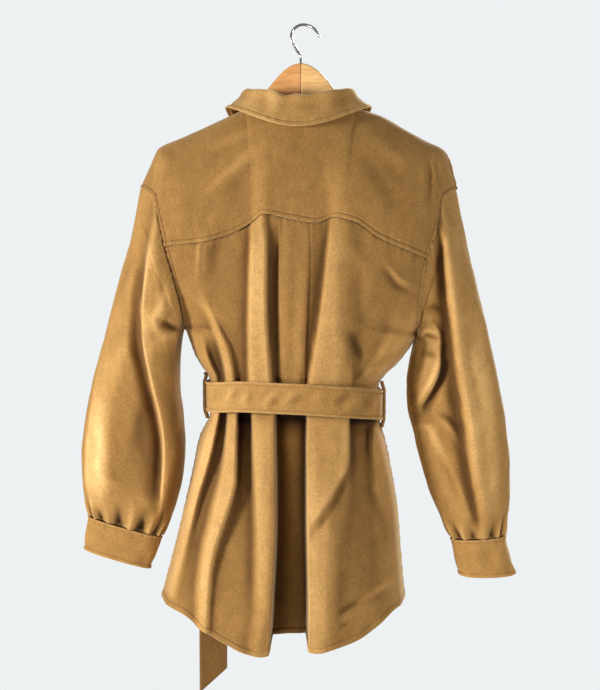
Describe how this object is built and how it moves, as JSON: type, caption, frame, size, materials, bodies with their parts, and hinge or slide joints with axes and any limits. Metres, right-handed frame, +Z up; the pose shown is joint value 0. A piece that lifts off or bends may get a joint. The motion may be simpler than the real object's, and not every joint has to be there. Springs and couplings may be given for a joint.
{
  "type": "belted suede shirt jacket on a wooden hanger",
  "caption": "Longline camel suede shirt jacket with a wavy back yoke, centre-back box pleat, full sleeves on cuffs and a tie belt, hanging on a wooden hanger.",
  "frame": {"origin": "the inner top of the hanger's hook, where a wardrobe rod bears", "axes": "+Z up, the jacket's back faces -Y and its front +Y, the hanger and the shoulder line lie along X in the plane Y = 0"},
  "size_m": [0.6818, 0.2464, 1.1092],
  "materials": {
    "suede": "brushed suede nap, camel",
    "button": "horn look, semi-gloss",
    "wood": "clear varnished beech",
    "wire": "polished"
  },
  "bodies": {
    "root": {"yoke": "suede", "back_panel": "suede", "front_left": "suede", "front_right": "suede", "front_band": "suede", "collar_stand": "suede", "collar": "suede", "sleeve_left": "suede", "sleeve_right": "suede", "cuff_left": "suede", "cuff_right": "suede", "belt_loop_left": "suede", "belt_loop_right": "suede", "belt": "suede", "belt_knot": "suede", "belt_tail_long": "suede", "belt_tail_short": "suede", "button_1": "button", "button_2": "button", "button_3": "button", "button_4": "button", "button_5": "button", "button_6": "button", "cuff_button_left": "button", "cuff_button_right": "button", "hanger_wood": "wood", "hanger_hook": "wire"}
  },
  "joints": []
}
